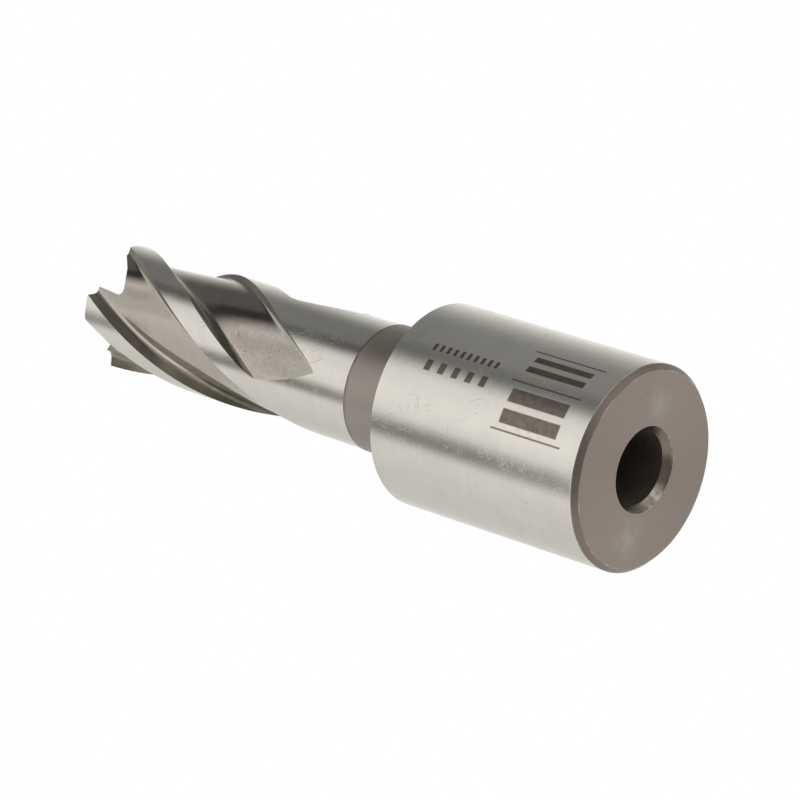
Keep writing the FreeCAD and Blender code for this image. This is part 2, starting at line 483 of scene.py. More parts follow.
@dataclass
class RepeatedCut:
    """A cutting tool that a rule bends from a flat outline, repeated round the axis.

    Every field that is a plain number is also a named input of the tool's node tree.

    Args:
        name: the tree's and the tool's name.
        count: how many tools stand round the axis.
        rows: sections along the sweep.
        step: degrees from one tool to the next.
        first: angle of the first tool.
        overrun: how far the tool reaches past what it cuts.
    """

    name: str
    count: int
    rows: int
    step: float
    first: float
    overrun: float
    sheet: Sheet = field(init=False)
    size: SimpleNamespace = field(init=False)

    def outline(self) -> list[Vector]:
        """Return the flat outline that the rule bends."""
        raise NotImplementedError

    def place(self, flat: tuple, along: Formula) -> tuple:
        """Return x, y and z of a flat point, in the section that stands at a share of the sweep."""
        raise NotImplementedError

    def build(self, material: Material) -> Piece:
        """Sweep, bend and repeat the outline with geometry nodes.

        Args:
            material: the finish that the cut leaves.

        Returns:
            The tools as one plain mesh object.
        """
        tree = bpy.data.node_groups.new(self.name, "GeometryNodeTree")
        tree.interface.new_socket("outline", in_out="INPUT", socket_type="NodeSocketGeometry")
        tree.interface.new_socket("tools", in_out="OUTPUT", socket_type="NodeSocketGeometry")
        numbers = {part.name: getattr(self, part.name) for part in fields(self) if part.type in (int, float)}
        values = {**numbers, "finish": material}
        sockets = {}
        for name, value in values.items():
            words, kind = name.replace("_", " "), SOCKET_KINDS[type(value)]
            sockets[name] = tree.interface.new_socket(words, in_out="INPUT", socket_type=kind)
        self.sheet = Sheet(tree)
        given = self.sheet.add("NodeGroupInput").outputs
        size = {name: self.sheet.number(given[sockets[name].name]) for name in numbers}
        self.size = SimpleNamespace(**size)
        shape = self.repeat(self.sweep(given["outline"]))
        dressed = self.sheet.add("GeometryNodeSetMaterial", {"Geometry": shape, "Material": given["finish"]})
        self.sheet.add("NodeGroupOutput", {"tools": dressed.outputs["Geometry"]})
        points = self.outline()
        mesh = bpy.data.meshes.new(self.name)
        mesh.from_pydata(points, [(index, (index + 1) % len(points)) for index in range(len(points))], [])
        tool = linked(self.name, mesh)
        modifier = tool.modifiers.new(self.name, "NODES")
        modifier.node_group = tree
        for name, value in values.items():
            modifier[sockets[name].identifier] = value
        return made_plain(tool)

    def sweep(self, outline: Socket) -> Socket:
        """Sweep the outline into a closed tube and bend it by the rule.

        Args:
            outline: the flat outline.

        Returns:
            The bent tube.
        """
        sheet = self.sheet
        kept = sheet.store_place(outline, "flat")
        profile = sheet.add("GeometryNodeMeshToCurve", {0: kept}).outputs["Curve"]
        line = sheet.add("GeometryNodeCurvePrimitiveLine", {"Start": (0, 0, 0), "End": (0, 0, 1)})
        spaced = {"Curve": line.outputs["Curve"], "Count": self.size.rows}
        rail = sheet.store_place(sheet.add("GeometryNodeResampleCurve", spaced).outputs["Curve"], "rail")
        swept = {"Curve": rail, "Profile Curve": profile, "Fill Caps": True}
        tube = sheet.add("GeometryNodeCurveToMesh", swept).outputs["Mesh"]
        placed = sheet.vector(*self.place(sheet.stored_place("flat"), sheet.stored_place("rail")[2]))
        bent = sheet.add("GeometryNodeSetPosition", {"Geometry": tube, "Position": placed})
        return bent.outputs["Geometry"]

    def repeat(self, shape: Socket) -> Socket:
        """Repeat the shape round the axis.

        Args:
            shape: one tool.

        Returns:
            All tools as real mesh.
        """
        sheet, size = self.sheet, self.size
        points = sheet.add("GeometryNodePoints", {"Count": size.count}).outputs[0]
        index = sheet.number(sheet.add("GeometryNodeInputIndex").outputs[0])
        turn = (index * size.step + size.first) * DEGREE
        rotation = sheet.add("FunctionNodeEulerToRotation", {0: sheet.vector(0, 0, turn)}).outputs[0]
        copies = {"Points": points, "Instance": shape, "Rotation": rotation}
        instances = sheet.add("GeometryNodeInstanceOnPoints", copies).outputs[0]
        return sheet.add("GeometryNodeRealizeInstances", {0: instances}).outputs[0]


@dataclass
class Flutes(RepeatedCut):
    """The helical flutes, whose floors climb back to the body's surface."""

    tip: float
    body_radius: float
    heel_angle: float
    lead: float = HELIX_LEAD * MM
    rake_depth: float = 1.25 * MM
    heel_depth: float = 0.68 * MM
    rise_power: float = 1.6
    rake_lean: float = 17.0
    heel_lean: float = 26.0
    rake_length: float = 22.0 * MM
    heel_length: float = 30.2 * MM
    bow: float = 0.42 * MM
    run_out: float = 12.0 * MM
    rake_bend: Span = (0.075, 0.5 * MM)
    heel_bend: Span = (0.058, 0.24 * MM)
    floor_points: ClassVar[int] = 22
    bend_points: ClassVar[int] = 6
    top_points: ClassVar[int] = 8

    def outline(self) -> list[Vector]:
        """Return the section drawn flat.

        Returns:
            Points whose first number is the share of the way from rake to heel, the second
            the height over the floor, and the third 1 on the open side.
        """
        rake_in, rake_up = self.rake_bend
        heel_in, heel_up = self.heel_bend
        heel = [Vector(point) for point in ((1, heel_up, 0), (1, 0, 0), (1 - heel_in, 0, 0))]
        rake = [Vector(point) for point in ((rake_in, 0, 0), (0, 0, 0), (0, rake_up, 0))]
        heel, rake = bend(*heel, self.bend_points), bend(*rake, self.bend_points)
        floor = [heel[-1].lerp(rake[0], step / self.floor_points) for step in range(1, self.floor_points)]
        top = [Vector((step / self.top_points, 0, 1)) for step in range(self.top_points + 1)]
        return heel + floor + rake + top

    def place(self, flat: tuple, along: Formula) -> tuple:
        """Return where a point of the flat section lies on the twisted flute.

        Args:
            flat: share, height over the floor and open side.
            along: the section's share of the sweep.

        Returns:
            Formulas for x, y and z.
        """
        size = self.size
        share, over, opened = flat
        z = between(size.tip - size.heel_length - size.overrun, size.tip + size.overrun, along)

        def radius_at(place: Formula) -> Formula:
            """Return the radius over a place of the floor, or the open side's radius.

            Args:
                place: share of the way from rake to heel.

            Returns:
                The radius.
            """
            depth = between(size.rake_depth, size.heel_depth, place ** size.rise_power)
            length = between(size.rake_length, size.heel_length, place) + size.bow * 4 * place * (1 - place)
            climb = (1 - (z - size.tip + length) / size.run_out).apply("MAXIMUM", 0.0)
            floor = size.body_radius - depth * (1 - climb * climb)
            floor = floor.apply("MINIMUM", size.body_radius + size.overrun / 4) + over
            return between(floor, size.body_radius + size.overrun, opened)

        def lean(radius: Formula, degrees: Formula) -> Formula:
            """Return how many degrees a leaning wall stands off its edge at a radius."""
            inward = (size.body_radius - radius) * (degrees * DEGREE).apply("TANGENT")
            return inward.apply("ARCTAN2", radius) / DEGREE

        rake = lean(radius_at(self.sheet.constant(0.0)), size.rake_lean)
        heel = size.heel_angle - lean(radius_at(self.sheet.constant(1.0)), size.heel_lean)
        angle = ((z - size.tip) * 360 / size.lead + between(rake, heel, share)) * DEGREE
        radius = radius_at(share)
        return radius * angle.apply("COSINE"), radius * angle.apply("SINE"), z


@dataclass
class Gullets(RepeatedCut):
    """The hooked gullets before the teeth, with the relief of the tooth ends."""

    tip: float
    body_radius: float
    core_radius: float
    crest_radius: float
    teeth: float
    depth: float = 3.25 * MM
    hook: float = 9.0
    root_radius: float = 0.55 * MM
    back_start: float = 20.0
    back_end: float = 50.0
    back_radius: float = 7.5 * MM
    relief: float = 5.0
    edge_land: float = 0.02 * MM
    arc_points: ClassVar[int] = 12

    def outline(self) -> list[Vector]:
        """Return the gullet drawn flat.

        Returns:
            Points whose first number is the arc length at the crest and the second the height.
        """
        tip, top, radius = self.tip, self.tip + self.overrun, self.root_radius
        hook, back_start, back_end = self.hook * DEGREE, self.back_start * DEGREE, self.back_end * DEGREE
        relief = math.tan(self.relief * DEGREE)
        pitch = math.tau / self.teeth * self.crest_radius - self.edge_land
        middle_z = tip - self.depth + radius
        middle_a = (middle_z + radius * math.sin(hook) - tip) * math.tan(hook) + radius * math.cos(hook)
        grown = self.back_radius - radius
        back_a = middle_a - grown * math.sin(back_start)
        back_z = middle_z + grown * math.cos(back_start)
        root = arc(middle_a, middle_z, radius, hook - math.pi / 2, back_start, self.arc_points)
        back = arc(back_a, back_z, self.back_radius, back_start, back_end, self.arc_points)
        end = back[-1]
        climb = math.tan(back_end)
        meet = (tip - pitch * relief - end.y + end.x * climb) / (climb - relief)
        corner = (meet, end.y + (meet - end.x) * climb, 0)
        sides = (corner, (pitch, tip, 0), (pitch, top, 0), ((top - tip) * math.tan(hook), top, 0))
        return root + back[1:] + [Vector(side) for side in sides]

    def place(self, flat: tuple, along: Formula) -> tuple:
        """Return where a point lies on the upright plane that the sweep has reached.

        Args:
            flat: arc length and height.
            along: the plane's share of the sweep.

        Returns:
            Formulas for x, y and z.
        """
        size = self.size
        out = between(size.core_radius / 2, size.body_radius + size.overrun, along)
        angle = flat[0] / size.crest_radius - math.pi / size.teeth
        return out, out * angle.apply("TANGENT"), flat[1]


@dataclass
class DriveFlats(RepeatedCut):
    """The two flats milled into the shank for the machine's set screws."""

    shank_radius: float
    depth: float = 1.1 * MM
    low: float = 8.0 * MM
    high: float = 17.0 * MM

    def outline(self) -> list[Vector]:
        """Return the flat's outline across and up the shank."""
        half, low, high = self.shank_radius, self.low, self.high
        return [Vector(p) for p in ((-half, low, 0), (half, low, 0), (half, high, 0), (-half, high, 0))]

    def place(self, flat: tuple, along: Formula) -> tuple:
        """Return where a point lies on the plane that the sweep has reached."""
        shank, size = self.size.shank_radius, self.size
        return between(shank - size.depth, shank + size.overrun, along), flat[0], flat[1]


@dataclass
class Cutter:
    """The whole cutter: the bar with its flutes, gullets and flats cut away."""

    bar: Bar = field(default_factory=Bar)
    first_rake_angle: float = 11.0
    flute_count: int = 4
    land_width: float = 2.3 * MM
    inner_edge_lead: float = 14.0
    first_flat_angle: float = 135.0
    flat_step: float = 90.0
    overrun: float = 1.2 * MM
    rows: int = 200
    sharp_angle: float = 24.0

    @property
    def pitch(self) -> float:
        """Return the degrees from one flute to the next."""
        return 360 / self.flute_count

    def flutes(self) -> Flutes:
        """Return the tool that cuts the flutes.

        Returns:
            One tool for all the flutes.
        """
        bar = self.bar
        return Flutes(
            "flutes", self.flute_count, self.rows, self.pitch, self.first_rake_angle, self.overrun,
            tip=bar.tip, body_radius=bar.body_radius,
            heel_angle=self.pitch - self.land_width / bar.body_radius / DEGREE,
        )

    def gullets(self) -> list[Gullets]:
        """Return the tools that cut the gullets.

        Returns:
            One tool for each pair of gullets that stand opposite.
        """
        bar = self.bar
        first = self.first_rake_angle + self.inner_edge_lead + self.pitch / 2
        reach = (bar.tip, bar.body_radius, bar.core_radius, bar.crest_radius, float(self.flute_count))
        return [
            Gullets(f"gullets_{index + 1}", 2, 2, 180.0, first + index * self.pitch, self.overrun, *reach)
            for index in range(self.flute_count // 2)
        ]

    def flats(self) -> DriveFlats:
        """Return the tool that mills the drive flats.

        Returns:
            One tool for all the flats that the record names.
        """
        count = sum(m["name"].startswith("drive_flat") for m in frame["record"]["mounts"])
        turns = (self.flat_step, self.first_flat_angle)
        return DriveFlats("drive_flats", count, 2, *turns, self.overrun, self.bar.shank_radius)

    def build(self, finishes: dict[str, Material]) -> Piece:
        """Cut the bar, hang it under the root body and hide the plain solid that it stands for.

        Args:
            finishes: the materials by name.

        Returns:
            The finished piece.
        """
        piece = self.bar.build(finishes)
        cuts = [(pair, "gullet") for pair in self.gullets()]
        cuts += [(self.flutes(), "flute"), (self.flats(), "drive_flat")]
        tools = [cut.build(finishes[finish]) for cut, finish in cuts]
        for tool in tools:
            modifier = piece.modifiers.new(tool.name, "BOOLEAN")
            modifier.object = tool
            modifier.operation = "DIFFERENCE"
            modifier.solver = "EXACT"
            modifier.material_mode = "TRANSFER"
        made_plain(piece)
        for tool in tools:
            bpy.data.objects.remove(tool)
        piece.name = "cutter_bar"
        self.shade(piece)
        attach(piece, "root")
        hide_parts(NODE)
        log.info("%s: %d faces in place of %s", piece.name, len(piece.data.polygons), NODE)
        return piece

    def shade(self, piece: Piece) -> None:
        """Make the faces smooth, and sharp where they meet at an edge or change finish.

        Args:
            piece: the finished piece.
        """
        mesh = piece.data
        mesh.shade_smooth()
        mesh.set_sharp_from_angle(angle=self.sharp_angle * DEGREE)
        edited = bmesh.new()
        edited.from_mesh(mesh)
        for edge in edited.edges:
            if len({face.material_index for face in edge.link_faces}) > 1:
                edge.smooth = False
        edited.to_mesh(mesh)
        edited.free()


@dataclass
class Spot:
    """A place on the steel as the finishes see it, in millimetres and degrees.

    Args:
        sheet: the material's node tree.
    """

    sheet: Sheet

    def __post_init__(self) -> None:
        """Read the place from the object's own coordinates."""
        coordinates = self.sheet.add("ShaderNodeTexCoord").outputs["Object"]
        self.x, self.y, self.z = (part / MM for part in self.sheet.parts(coordinates))
        self.radius = distance(self.x, self.y)
        self.angle = self.y.apply("ARCTAN2", self.x) / DEGREE

    def noise(self, across: tuple, detail: float, rough: float, seed: float, curl: float = 0.0) -> Formula:
        """Return a noise between 0 and 1.

        Args:
            across: the three coordinates that the noise runs over, a step of 1 to a grain.
            detail: how many finer noises lie on it.
            rough: how strong the finer ones are.
            seed: shifts the noise, so that two of them differ.
            curl: how much the grains wind.

        Returns:
            The noise.
        """
        shifted = self.sheet.vector(*(part + seed for part in across))
        inputs = {"Vector": shifted, "Scale": 1.0, "Detail": detail, "Roughness": rough, "Distortion": curl}
        return self.sheet.number(self.sheet.add("ShaderNodeTexNoise", inputs).outputs[0])

    def clouds(self, size: float, seed: float = 0.0, detail: float = 3.0, rough: float = 0.55) -> Formula:
        """Return soft blotches of a size in millimetres, as a noise between 0 and 1."""
        return self.noise((self.x / size, self.y / size, self.z / size), detail, rough, seed)

    def lines(self, grain: Grain, pitch: float, length: float) -> Formula:
        """Return fine lines.

        Args:
            grain: which way they run.
            pitch: millimetres from line to line.
            length: millimetres that a line stays the same.

        Returns:
            The lines as a noise between 0 and 1.
        """
        if grain is Grain.FLUTE:
            turned = (self.angle * DEGREE - self.z * (math.tau / HELIX_LEAD)) * self.radius
            across = (turned / pitch, self.z / length, 0.0)
        else:
            stacked = self.z if grain is Grain.AROUND else self.radius
            across = (self.x / length, self.y / length, stacked / pitch)
        return self.noise(across, detail=3.0, rough=0.65, seed=0.0)

    def above(self, value: Formula, limit: float, softness: float) -> Formula:
        """Return 0 below a limit and 1 above it, with a soft step between."""
        return self.sheet.step(value, limit - softness / 2, limit + softness / 2)

    def inside(self, value: Formula, low: float, high: float, softness: float) -> Formula:
        """Return 1 between two limits and 0 outside them."""
        return self.above(value, low, softness) * (1 - self.above(value, high, softness))


@dataclass(frozen=True)
class Blotches:
    """Soft patches spread without order.

    Args:
        size: their size in millimetres.
        limit: how rare they are, from 0 to 1.
        softness: how softly they end.
        seed: shifts them.
        detail: how many finer patches lie on them.
        rough: how strong the finer ones are.
    """

    size: float
    limit: float
    softness: float
    seed: float
    detail: float = 3.0
    rough: float = 0.55

    def on(self, spot: Spot) -> Formula:
        """Return 1 on a patch and 0 off it."""
        clouds = spot.clouds(self.size, self.seed, self.detail, self.rough)
        return spot.above(clouds, self.limit, self.softness)


@dataclass(frozen=True)
class Scratches:
    """Short scratches that all run one way.

    Args:
        slant: degrees between the scratches and the way round the bar.
        width: their width in millimetres.
        length: their length in millimetres.
        limit: how rare they are, from 0 to 1.
        seed: shifts them.
        softness: how softly they end.
        curl: how much they wind.
    """

    slant: float
    width: float
    length: float
    limit: float
    seed: float
    softness: float = 0.05
    curl: float = 0.25

    def on(self, spot: Spot) -> Formula:
        """Return where the scratches are.

        Args:
            spot: the place.

        Returns:
            1 on a scratch and 0 off it.
        """
        around = spot.angle * DEGREE * spot.radius
        cosine, sine = math.cos(self.slant * DEGREE), math.sin(self.slant * DEGREE)
        along = around * cosine + spot.z * sine
        off = spot.z * cosine - around * sine
        across = (along / self.length, off / self.width, 0.0)
        noise = spot.noise(across, detail=0.0, rough=0.5, seed=self.seed, curl=self.curl)
        return spot.above(noise, self.limit, self.softness)


@dataclass
class Look:
    """What a finish has worked out for a place: colour, dullness and fine relief.

    Args:
        spot: the place.
        colour: the colour so far.
        roughness: the dullness so far.
        height: the relief so far, in millimetres.
    """

    spot: Spot
    colour: Socket
    roughness: Formula
    height: Formula

    def tint(self, mask: Formula, colour: Tone, share: float = 1.0) -> None:
        """Mix a share of another colour in where the mask is 1."""
        self.colour = self.spot.sheet.mix(mask * share, self.colour, colour)

    def mark(self, mask: Formula, colour: Tone, share: float, dulled: float, depth: float) -> None:
        """Mark the steel.

        Args:
            mask: 1 on the mark and 0 off it.
            colour: the mark's colour.
            share: how much of that colour it takes.
            dulled: what it adds to the dullness.
            depth: its depth in millimetres.
        """
        self.tint(mask, colour, share)
        self.roughness += mask * dulled
        self.height -= mask * depth


@dataclass(frozen=True)
class Finish:
    """A finish of the steel.

    Args:
        name: the material's name.
        colour: its plain colour.
        roughness: how dull it is.
        grain: which way its fine lines run.
        pitch: millimetres from line to line.
        relief: height of the lines in millimetres.
        streaks: how much the lines change the colour.
        clouds: how much soft blotches change the colour.
        cloud_size: size of the blotches in millimetres.
        line_length: millimetres that a fine line stays the same.
        stretch: how much the fine lines stretch a reflection across them.
        waves: height of the blotches' relief in millimetres.
        scuffs: how much scratches darken the colour.
        flecks: height of the finest unevenness in millimetres.
        worn: the angle, height and size of each patch that is scratched all over.
        scratch_tone: colour of the scratches.
        worn_tone: colour of the scratched patches.
    """

    name: str
    colour: Tone
    roughness: float
    grain: Grain = Grain.AROUND
    pitch: float = 0.3
    relief: float = 0.001
    streaks: float = 0.25
    clouds: float = 0.2
    cloud_size: float = 2.5
    line_length: float = 14.0
    stretch: float = 0.0
    waves: float = 0.0
    scuffs: float = 0.0
    flecks: float = 0.0
    worn: tuple[tuple[float, float, float], ...] = ()
    scratch_tone: Tone = (0.13, 0.12, 0.10)
    worn_tone: Tone = (0.15, 0.145, 0.12)

    def look(self, spot: Spot) -> Look:
        """Return what the finish gives a place.

        Args:
            spot: the place.

        Returns:
            Its colour, dullness and relief.
        """
        lines = spot.lines(self.grain, self.pitch, self.line_length)
        cloud = spot.clouds(self.cloud_size)
        mottled = 1 + (cloud - 0.5) * (2 * self.clouds)
        shade = mottled + (lines - 0.5) * (2 * self.streaks)
        plain = spot.sheet.vector(*(shade * part for part in self.colour))
        look = Look(spot, plain, mottled * self.roughness, lines * self.relief)
        if self.waves:
            look.height += cloud * self.waves
        if self.scuffs:
            self.scuff(look)
        for degrees, height, size in self.worn:
            self.wear(look, degrees, height, size)
        if self.flecks:
            self.fleck(look)
        self.dress(look)
        return look

    def dress(self, look: Look) -> None:
        """Add what one kind of finish has of its own. A plain finish adds nothing."""

    def scuff(self, look: Look) -> None:
        """Scratch the steel here and there, as handling does.

        Args:
            look: what changes.
        """
        spot = look.spot
        scratches = (
            Scratches(24.0, 0.05, 2.6, 0.78, seed=4.0),
            Scratches(-62.0, 0.05, 1.8, 0.79, seed=8.0),
            Scratches(80.0, 0.05, 1.4, 0.79, seed=19.0),
        )
        marks = sum(family.on(spot) for family in scratches)
        marks = marks * Blotches(3.5, 0.56, 0.14, seed=11.0).on(spot)
        look.mark(marks, self.scratch_tone, share=self.scuffs, dulled=0.4, depth=0.004)

    def wear(self, look: Look, degrees: float, height: float, size: float) -> None:
        """Scratch one patch all over.

        Args:
            look: what changes.
            degrees: the patch's angle round the axis.
            height: its height in millimetres.
            size: its radius in millimetres.
        """
        spot = look.spot
        scratches = (
            Scratches(-35.0, 0.07, 0.8, 0.66, seed=12.0),
            Scratches(68.0, 0.06, 0.7, 0.66, seed=14.0),
        )
        off = distance((spot.angle - degrees) * DEGREE * spot.radius, spot.z - height) / size
        patch = 1 - spot.above(off, limit=0.6, softness=0.8)
        marks = sum(family.on(spot) for family in scratches) * patch
        marks = marks * Blotches(1.1, 0.5, 0.3, seed=31.0).on(spot)
        look.mark(marks, self.worn_tone, share=0.35, dulled=0.15, depth=0.003)

    def fleck(self, look: Look) -> None:
        """Roughen the steel finely and unevenly, with a faint haze.

        Args:
            look: what changes.
        """
        spot = look.spot
        uneven = 0.4 + 1.2 * spot.clouds(3.0, seed=21.0)
        look.height += spot.clouds(0.22, seed=17.0, detail=1.0) * uneven * self.flecks
        haze = Blotches(0.3, 0.6, 0.2, seed=25.0, detail=2.0).on(spot)
        look.roughness += haze * Blotches(2.6, 0.5, 0.3, seed=27.0).on(spot) * 0.05

    def material(self) -> Material:
        """Make the finish.

        Returns:
            The finish as a material.
        """
        material = bpy.data.materials.new(self.name)
        material.use_nodes = True
        sheet = Sheet(material.node_tree)
        spot = Spot(sheet)
        look = self.look(spot)
        bump = sheet.add("ShaderNodeBump", {"Height": look.height * MM, "Distance": 1.0, "Strength": 1.0})
        shader = material.node_tree.nodes["Principled BSDF"]
        shader.inputs["Metallic"].default_value = 1.0
        sheet.put(look.colour, shader.inputs["Base Color"])
        sheet.put(look.roughness, shader.inputs["Roughness"])
        sheet.put(bump.outputs["Normal"], shader.inputs["Normal"])
        if self.stretch:
            out = (spot.x, spot.y, 0.0) if self.grain is Grain.RINGS else (0.0, 0.0, 1.0)
            shader.inputs["Anisotropic"].default_value = self.stretch
            sheet.put(sheet.vector(*out), shader.inputs["Tangent"])
        return material


@dataclass(frozen=True)
class MarkedShank(Finish):
    """The ground shank with a plain etched field of bars and two rows of dashes.

    Args:
        ink: colour of the etched mark.
        dulled: what the mark adds to the dullness.
        edge: millimetres over which the mark's edges fade.
        turned_radius: the shank's radius in millimetres, for turning that into degrees.
        bars: the angles of each wide bar.
        bar_heights: where the bars begin and end, in millimetres.
        rules: the angles of each thin rule.
        rule_heights: where the rules begin and end.
        rows: the angles of each row of dashes, and millimetres from dash to dash.
        row_heights: where the rows begin and end.
        row_start: where the first dash is counted from.
        dash: the share of each step at which its dash begins and ends.
    """

    ink: Tone = (0.135, 0.11, 0.09)
    dulled: float = 0.14
    edge: float = 0.12
    turned_radius: float = 9.5
    bars: tuple[Span, ...] = ((12.0, 20.0), (24.0, 32.0), (43.5, 47.5), (51.0, 55.0))
    bar_heights: Span = (3.2, 9.7)
    rules: tuple[Span, ...] = ((7.8, 8.8), (36.0, 37.0), (58.6, 59.6))
    rule_heights: Span = (2.5, 10.4)
    rows: tuple[tuple[Span, float], ...] = (((39.5, 44.0), 0.8), ((27.0, 33.5), 1.6))
    row_heights: Span = (12.5, 20.4)
    row_start: float = 12.4
    dash: Span = (0.2, 0.65)

    def dress(self, look: Look) -> None:
        """Etch the mark.

        Args:
            look: what changes.
        """
        spot = look.spot
        mark = sum(self.dashes(spot, angles, pitch) for angles, pitch in self.rows)
        mark += sum(self.block(spot, angles, self.bar_heights) for angles in self.bars)
        mark += sum(self.block(spot, angles, self.rule_heights) for angles in self.rules)
        uneven = 0.78 + 0.3 * spot.clouds(0.5, seed=7.0)
        look.tint(mark * uneven, self.ink)
        look.roughness += mark * self.dulled

    def block(self, spot: Spot, angles: Span, heights: Span) -> Formula:
        """Return 1 on a rectangle of the shank, between two angles and two heights."""
        soft = self.edge / self.turned_radius / DEGREE
        return spot.inside(spot.angle, *angles, soft) * spot.inside(spot.z, *heights, self.edge)

    def dashes(self, spot: Spot, angles: Span, pitch: float) -> Formula:
        """Return a row of even dashes.

        Args:
            spot: the place.
            angles: the row's first and last angle.
            pitch: millimetres from dash to dash.

        Returns:
            1 on a dash and 0 off it.
        """
        low, high = self.dash
        place = (spot.z - self.row_start).apply("FLOORED_MODULO", pitch)
        row = self.block(spot, angles, self.row_heights)
        return row * spot.inside(place, pitch * low, pitch * high, self.edge)


@dataclass(frozen=True)
class PaintedLightRing(Finish):
    """A ring whose edges are worn in places, with rubbed patches and specks.

    Args:
        rims: the two radii, or heights, between which each painted edge line lies, in millimetres; a light
            line is a painted highlight, a dark one a painted shadow.
        edge_line_share: how strong the painted line is.
        edge_line_share: how strong the wear is.
        edge_line_gaps: how much of it is missing in places, from 0 to 1.
        edge_line_tone: its colour.
        rubbed: the x, y and size of each painted highlight patch, in millimetres.
        painted_highlight_tone: their colour.
        specks: how strong the dark specks are.
        speck_tone: their colour.
    """

    rims: tuple[Span, ...] = ()
    edge_line_share: float = 0.4
    edge_line_gaps: float = 1.0
    edge_line_tone: Tone = (0.62, 0.58, 0.53)
    rubbed: tuple[tuple[float, float, float], ...] = ()
    painted_highlight_tone: Tone = (0.34, 0.33, 0.29)
    specks: float = 0.0
    speck_tone: Tone = (0.10, 0.085, 0.07)

    def dress(self, look: Look) -> None:
        """Paint the lines along the edges and the highlight patches, and scatter the specks.

        Args:
            look: what changes.
        """
        spot = look.spot
        unbroken = 1 - self.edge_line_gaps * (1 - Blotches(1.6, 0.52, 0.24, seed=9.0).on(spot))
        place = spot.radius if self.grain is Grain.RINGS else spot.z
        # Painted lines along the edges: highlights where the tone is light, a shadow where it is dark.
        for low, high in self.rims:
            look.tint(spot.inside(place, low, high, softness=0.04) * unbroken, self.edge_line_tone, self.edge_line_share)
        # Painted highlight patches.
        for x, y, size in self.rubbed:
            off = distance(spot.x - x, spot.y - y) / size
            patch = 1 - spot.above(off, limit=0.6, softness=1.0)
            look.tint(patch * Blotches(1.2, 0.45, 0.3, seed=5.0).on(spot), self.painted_highlight_tone, share=0.5)
        if self.specks:
            specks = Blotches(0.45, 0.86, 0.05, seed=15.0, detail=0.0).on(spot)
            look.tint(specks, self.speck_tone, self.specks)


